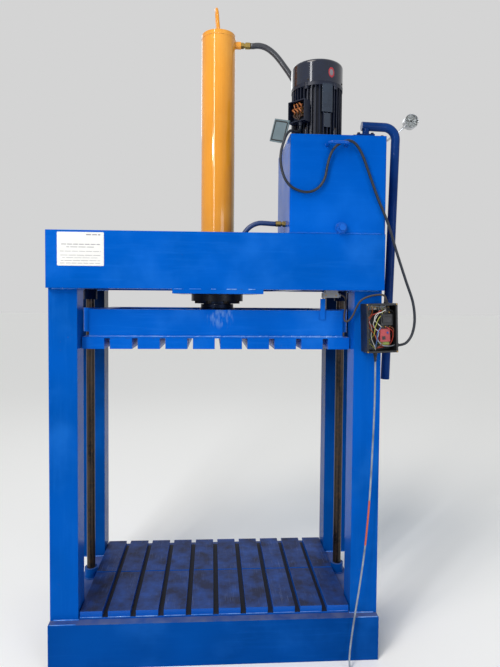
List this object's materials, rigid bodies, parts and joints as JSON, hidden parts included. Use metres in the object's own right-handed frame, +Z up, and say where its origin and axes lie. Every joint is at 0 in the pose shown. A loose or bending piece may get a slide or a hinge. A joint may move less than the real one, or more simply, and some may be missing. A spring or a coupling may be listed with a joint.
{
  "type": "recycling baler",
  "caption": "Upright hydraulic baling press: ribbed bed and guided follower in an open four-post frame, cylinder, oil tank and motor on the head, bent pipe valve lever.",
  "frame": {"origin": "centre of the underside of the base, on the floor", "axes": "+Z up, -Y towards the operator at the front, +X towards the tank side"},
  "size_m": [1.7465, 0.99, 3.0995],
  "materials": {
    "blue_paint": "gloss",
    "bed_paint": "worn gloss",
    "tank_paint": "gloss",
    "dark_blue_paint": "gloss",
    "orange_paint": "gloss",
    "black_paint": "gloss",
    "motor_paint": "satin",
    "box_paint": "satin",
    "cover_paint": "satin",
    "gland_steel": "turned",
    "black_bolts": "oxide",
    "guide_steel": "ground",
    "rod_chrome": "polished",
    "cast_iron": "turned",
    "zinc_fittings": "yellow zinc",
    "pump_aluminium": "cast",
    "gauge_steel": "satin",
    "gauge_glass": "clear",
    "hose_rubber": "satin",
    "blue_hose_rubber": "satin",
    "cable_rubber": "satin",
    "lead_plastic": "satin",
    "black_plastic": "matte",
    "brown_plastic": "matte",
    "red_plastic": "satin",
    "blue_plastic": "gloss",
    "grey_plastic": "satin"
  },
  "bodies": {
    "frame": {"base_front_beam": "blue_paint", "base_rear_beam": "blue_paint", "base_cross_beams": "blue_paint", "bed_plate": "blue_paint", "bed_ribs": "bed_paint", "front_columns": "blue_paint", "rear_columns": "blue_paint", "head_front_beam": "blue_paint", "head_rear_beam": "blue_paint", "head_cross_beams": "blue_paint", "cylinder_mount_plate": "blue_paint", "cylinder_barrel": "orange_paint", "cylinder_cap": "orange_paint", "cylinder_flange": "black_paint", "rod_gland": "gland_steel", "flange_bolts": "black_bolts", "lifting_loop": "orange_paint", "hose_fittings": "zinc_fittings", "upper_hose": "hose_rubber", "lower_hose": "blue_hose_rubber", "guide_rods": "guide_steel", "rod_sockets": "blue_paint", "tank_shell": "tank_paint", "tank_lid": "tank_paint", "tank_handle": "tank_paint", "drain_plug": "tank_paint", "oil_pump": "pump_aluminium", "motor_body": "motor_paint", "fan_cowl": "motor_paint", "terminal_box": "motor_paint", "terminal_block": "brown_plastic", "terminal_cover": "cover_paint", "valve_block": "dark_blue_paint", "pressure_gauge": "gauge_steel", "gauge_glass": "gauge_glass", "starter_box": "box_paint", "contactor": "black_plastic", "overload_relay": "red_plastic", "limit_switch": "grey_plastic", "motor_cable": "cable_rubber", "switch_cable": "cable_rubber", "supply_lead": "lead_plastic", "supply_coil": "lead_plastic", "supply_plug": "grey_plastic"},
    "follower": {"follower_front_channel": "blue_paint", "follower_rear_channel": "blue_paint", "follower_cross_channels": "blue_paint", "follower_plate": "blue_paint", "follower_ribs": "blue_paint", "guide_sleeves": "blue_paint", "rod_coupling": "gland_steel", "piston_rod": "rod_chrome", "piston": "cast_iron", "trip_bar": "blue_paint"},
    "lever": {"valve_lever": "dark_blue_paint"},
    "rotor": {"motor_shaft": "guide_steel", "motor_fan": "black_plastic"},
    "needle": {"gauge_needle": "black_plastic"},
    "button": {"reset_button": "blue_plastic"},
    "plunger": {"switch_plunger": "guide_steel"}
  },
  "joints": [
    {"name": "ram_slide", "type": "slide", "parent": "frame", "child": "follower", "axis": [0, 0, -1], "range_m": [0, 1]},
    {"name": "lever_turn", "type": "hinge", "parent": "frame", "child": "lever", "pos_m": [0.7075, -0.17, 2.45], "axis": [0, 0, 1], "range_deg": [-25, 25]},
    {"name": "rotor_spin", "type": "hinge", "parent": "frame", "child": "rotor", "pos_m": [0.4675, -0.17, 2.5], "axis": [0, 0, 1], "continuous": true},
    {"name": "needle_turn", "type": "hinge", "parent": "frame", "child": "needle", "pos_m": [0.968, -0.068, 2.545], "axis": [0, 1, 0], "range_deg": [0, 270], "stiffness_Nm_per_rad": 0.0001},
    {"name": "button_press", "type": "slide", "parent": "frame", "child": "button", "axis": [0, 1, 0], "range_m": [0, 0.003], "stiffness_N_per_m": 300},
    {"name": "plunger_press", "type": "slide", "parent": "frame", "child": "plunger", "axis": [0, 0, 1], "range_m": [0, 0.003], "stiffness_N_per_m": 300, "springref_m": -0.002}
  ]
}
